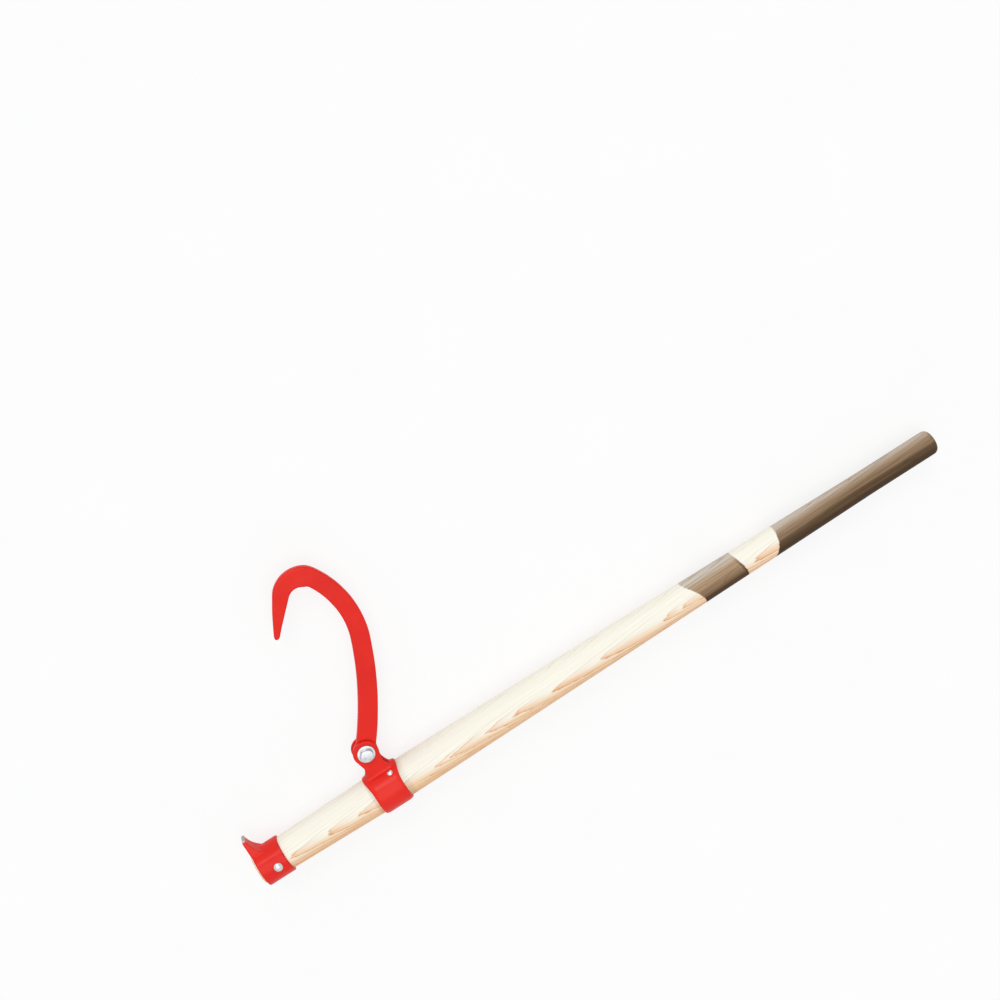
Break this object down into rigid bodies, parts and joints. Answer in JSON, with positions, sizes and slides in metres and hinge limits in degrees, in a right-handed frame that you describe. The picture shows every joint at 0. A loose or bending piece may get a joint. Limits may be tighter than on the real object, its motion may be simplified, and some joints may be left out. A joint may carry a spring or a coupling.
{
  "type": "cant hook",
  "caption": "Log-rolling lever: a tapered wooden handle with a steel clasp, a swinging forged hook with a sharp point, and a toe ring with a lip.",
  "frame": {"origin": "centre of the handle's toe face, on the handle's axis", "axes": "+X along the handle from toe to butt, +Y towards the hook, +Z along the hook's pivot bolt, out of the face that the picture shows"},
  "size_m": [1.219, 0.4124, 0.0682],
  "materials": {
    "handle_wood": "sealed pale ash with dark stained grip bands",
    "red_paint": "semi-gloss red enamel on forged steel",
    "zinc_steel": "bright zinc plate",
    "lock_nylon": "natural nylon"
  },
  "bodies": {
    "handle_body": {"handle": "handle_wood", "toe_ring": "red_paint", "toe_rivet": "zinc_steel", "clasp": "red_paint", "clasp_screws": "zinc_steel", "pivot_bolt": "zinc_steel", "pivot_washers": "zinc_steel", "pivot_nut": "zinc_steel", "nut_insert": "lock_nylon"},
    "hook_body": {"hook": "red_paint"}
  },
  "joints": [
    {"name": "hook_swing", "type": "hinge", "parent": "handle_body", "child": "hook_body", "pos_m": [0.23, 0.0719, 0], "axis": [0, 0, 1], "range_deg": [-70, 87]}
  ]
}
